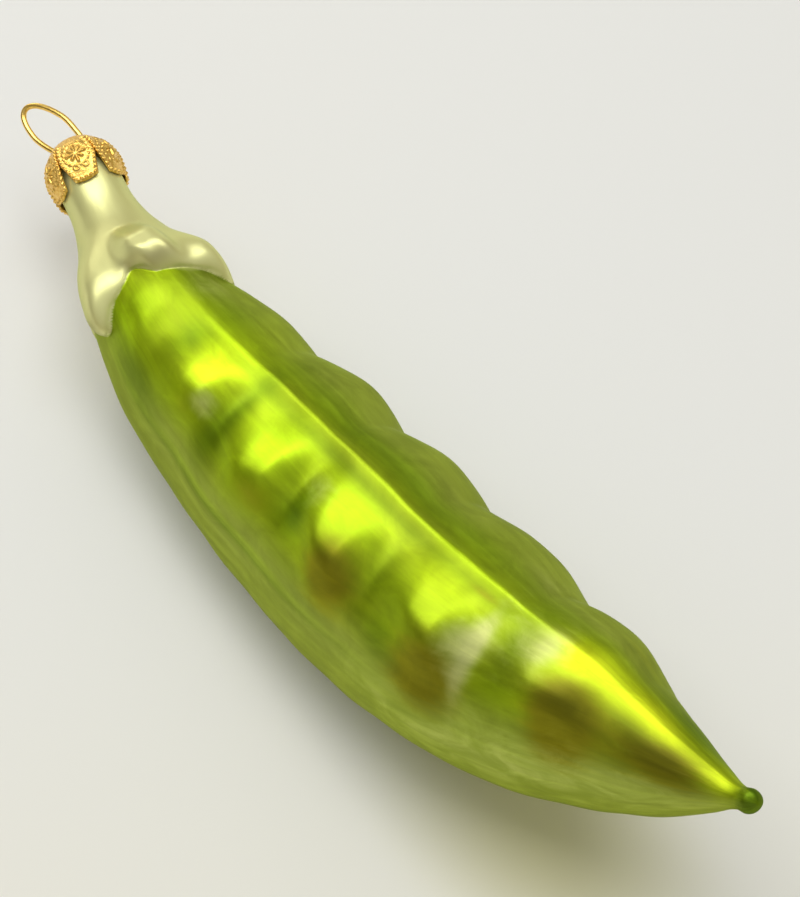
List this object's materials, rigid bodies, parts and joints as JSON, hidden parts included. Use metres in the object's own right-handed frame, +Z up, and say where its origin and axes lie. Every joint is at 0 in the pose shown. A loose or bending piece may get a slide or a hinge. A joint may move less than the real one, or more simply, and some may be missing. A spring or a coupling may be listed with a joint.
{
  "type": "glass pea pod hanging ornament",
  "caption": "Blown glass ornament shaped like a pea pod, lying on its belly, with a petalled metal cap and a wire loop to hang it by.",
  "frame": {"origin": "on the surface it lies on, under the middle of the whole ornament", "axes": "+X runs along the pod from the wire loop to the tip, +Z is up, the ridge leans a little towards +Y"},
  "size_m": [0.1338, 0.0274, 0.0399],
  "materials": {
    "lacquered_glass": "blown glass, silvered inside, with a satin translucent green lacquer and a cream calyx",
    "gilt_cap": "stamped thin sheet, gilt, grained and embossed",
    "gilt_wire": "smooth gilt wire"
  },
  "bodies": {
    "root": {"glass_pod": "lacquered_glass", "ornament_cap": "gilt_cap", "wire_hanger": "gilt_wire"}
  },
  "joints": []
}
